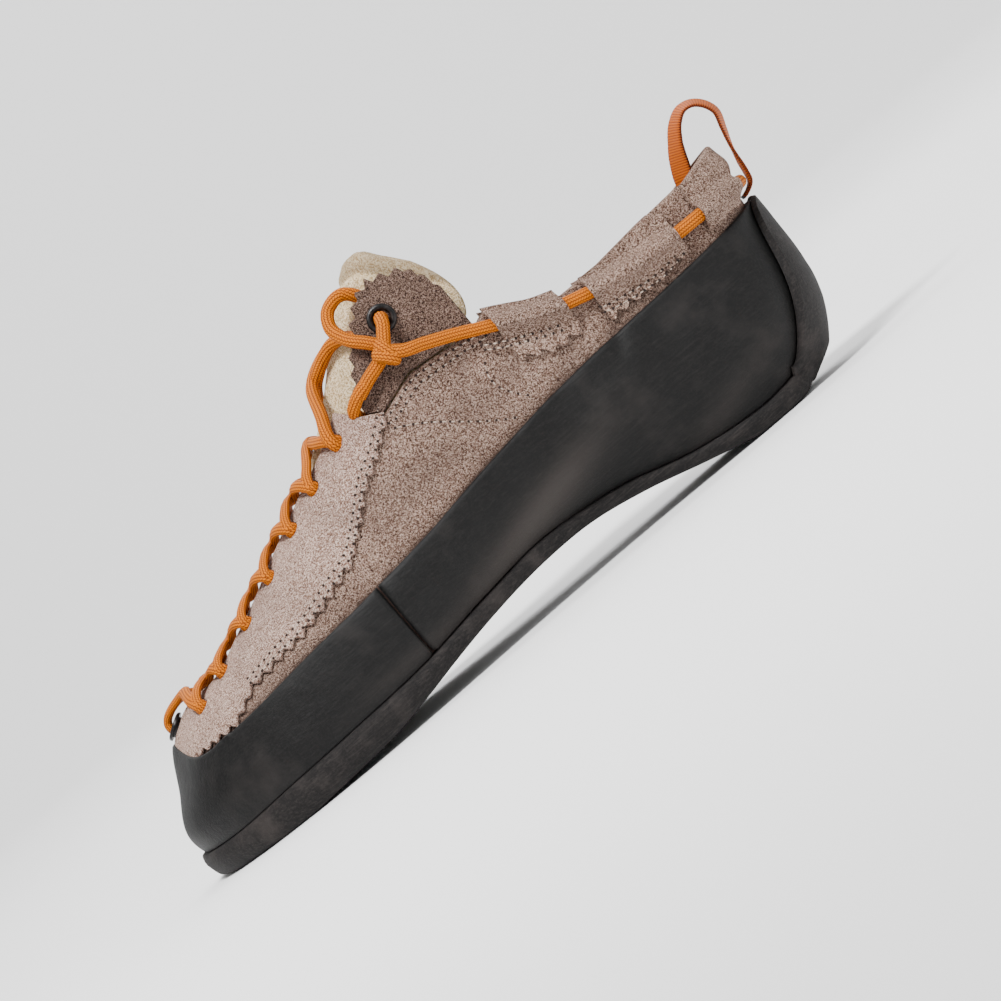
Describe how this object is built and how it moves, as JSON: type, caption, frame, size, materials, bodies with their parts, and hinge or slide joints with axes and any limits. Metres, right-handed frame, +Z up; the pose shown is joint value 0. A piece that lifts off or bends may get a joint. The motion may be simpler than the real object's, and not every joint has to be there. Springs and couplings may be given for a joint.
{
  "type": "climbing shoe",
  "caption": "Laced climbing shoe for the left foot: suede upper, wrap-around rubber rand, one-piece sole with heel strip, tongue, lace run through leather tunnels round the ankle, and pull loop.",
  "frame": {"origin": "on the floor under the middle of the heel, where the sole's heel rest touches it", "axes": "+Z up; the toe points to -X; the little-toe side faces -Y and the big-toe side +Y"},
  "size_m": [0.2664, 0.0956, 0.1209],
  "materials": {
    "sole_rubber": "matt, ground at the edge",
    "rand_rubber": "matt, smooth",
    "suede": "napped suede",
    "board": "bare",
    "cream_suede": "napped suede",
    "eyelet_metal": "black, half gloss",
    "lace": "round braid",
    "webbing": "flat woven tape"
  },
  "bodies": {
    "root": {"outsole": "sole_rubber", "front_rand": "rand_rubber", "rear_rand": "rand_rubber", "upper": "suede", "eyestay": "suede", "flap_lateral": "suede", "flap_medial": "suede", "tunnel_lateral_1": "suede", "tunnel_lateral_2": "suede", "tunnel_lateral_3": "suede", "tunnel_medial_1": "suede", "tunnel_medial_2": "suede", "tunnel_medial_3": "suede", "insole": "board", "tongue": "cream_suede", "eyelet_toe": "eyelet_metal", "eyelet_lateral": "eyelet_metal", "eyelet_medial": "eyelet_metal", "lace_crossings": "lace", "ankle_lace": "lace", "pull_loop": "webbing"}
  },
  "joints": []
}
